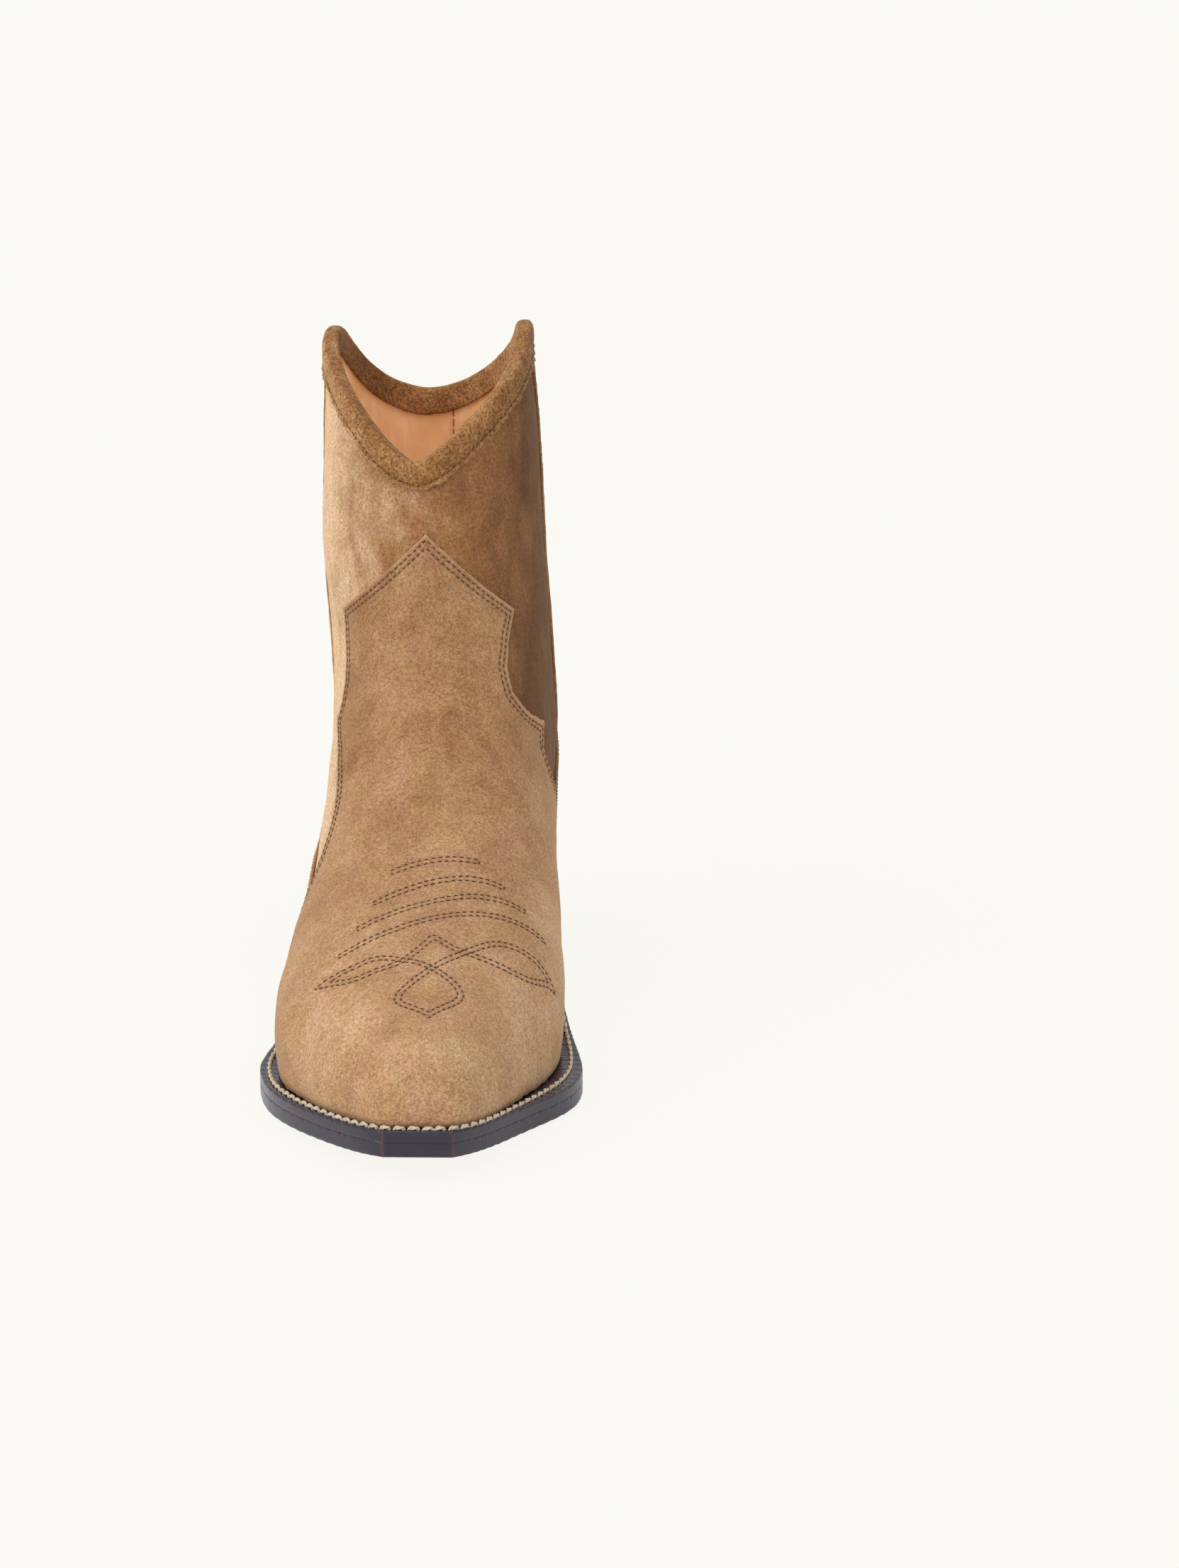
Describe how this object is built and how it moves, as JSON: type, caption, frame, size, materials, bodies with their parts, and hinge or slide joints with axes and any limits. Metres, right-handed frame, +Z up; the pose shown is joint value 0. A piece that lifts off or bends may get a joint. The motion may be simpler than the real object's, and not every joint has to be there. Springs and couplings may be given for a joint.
{
  "type": "western ankle boot",
  "caption": "Right-foot western ankle boot in tan suede, with a pointed tongue on the vamp, a V-cut top line, a welted leather sole and a stacked underslung heel.",
  "frame": {"origin": "on the ground, at the centre of the heel's bottom face", "axes": "+Z up, the toe points to -Y, the inner side of the foot (towards the other boot) is +X"},
  "size_m": [0.1056, 0.2801, 0.2348],
  "materials": {
    "suede": "napped suede",
    "quarter_suede": "napped suede",
    "binding_suede": "napped suede",
    "lining_leather": "smooth matte",
    "stiffener": "fibre board",
    "backer_cloth": "woven cotton",
    "insole_leather": "natural",
    "foam": "soft foam",
    "sock_leather": "smooth matte",
    "cork": "ground cork",
    "shank_steel": "tempered",
    "sole_edge_leather": "polished dark edge",
    "outsole_leather": "polished dark edge",
    "thread": "waxed twine",
    "heel_leather": "stacked, stained dark",
    "heel_rubber": "moulded",
    "brass_pins": "bright",
    "nail_steel": "bright"
  },
  "bodies": {
    "root": {"vamp": "suede", "counter_cover": "quarter_suede", "front_shaft": "quarter_suede", "back_shaft": "quarter_suede", "front_binding": "binding_suede", "back_binding": "binding_suede", "side_piping_inner": "binding_suede", "side_piping_outer": "binding_suede", "front_lining": "lining_leather", "vamp_lining": "lining_leather", "back_lining_inner": "lining_leather", "back_lining_outer": "lining_leather", "heel_stiffener": "stiffener", "toe_puff": "stiffener", "vamp_backer": "backer_cloth", "insole_board": "insole_leather", "insole_foam": "foam", "sock_liner": "sock_leather", "cork_filler": "cork", "shank": "shank_steel", "shank_rivets": "nail_steel", "welt": "sole_edge_leather", "heel_rand": "sole_edge_leather", "outsole": "outsole_leather", "welt_thread": "thread", "heel_wedge": "heel_leather", "heel_lift_1": "heel_leather", "heel_lift_2": "heel_leather", "heel_lift_3": "heel_leather", "heel_lift_4": "heel_leather", "heel_lift_5": "heel_leather", "top_lift": "heel_rubber", "heel_nails": "nail_steel", "top_lift_brads": "brass_pins"}
  },
  "joints": []
}
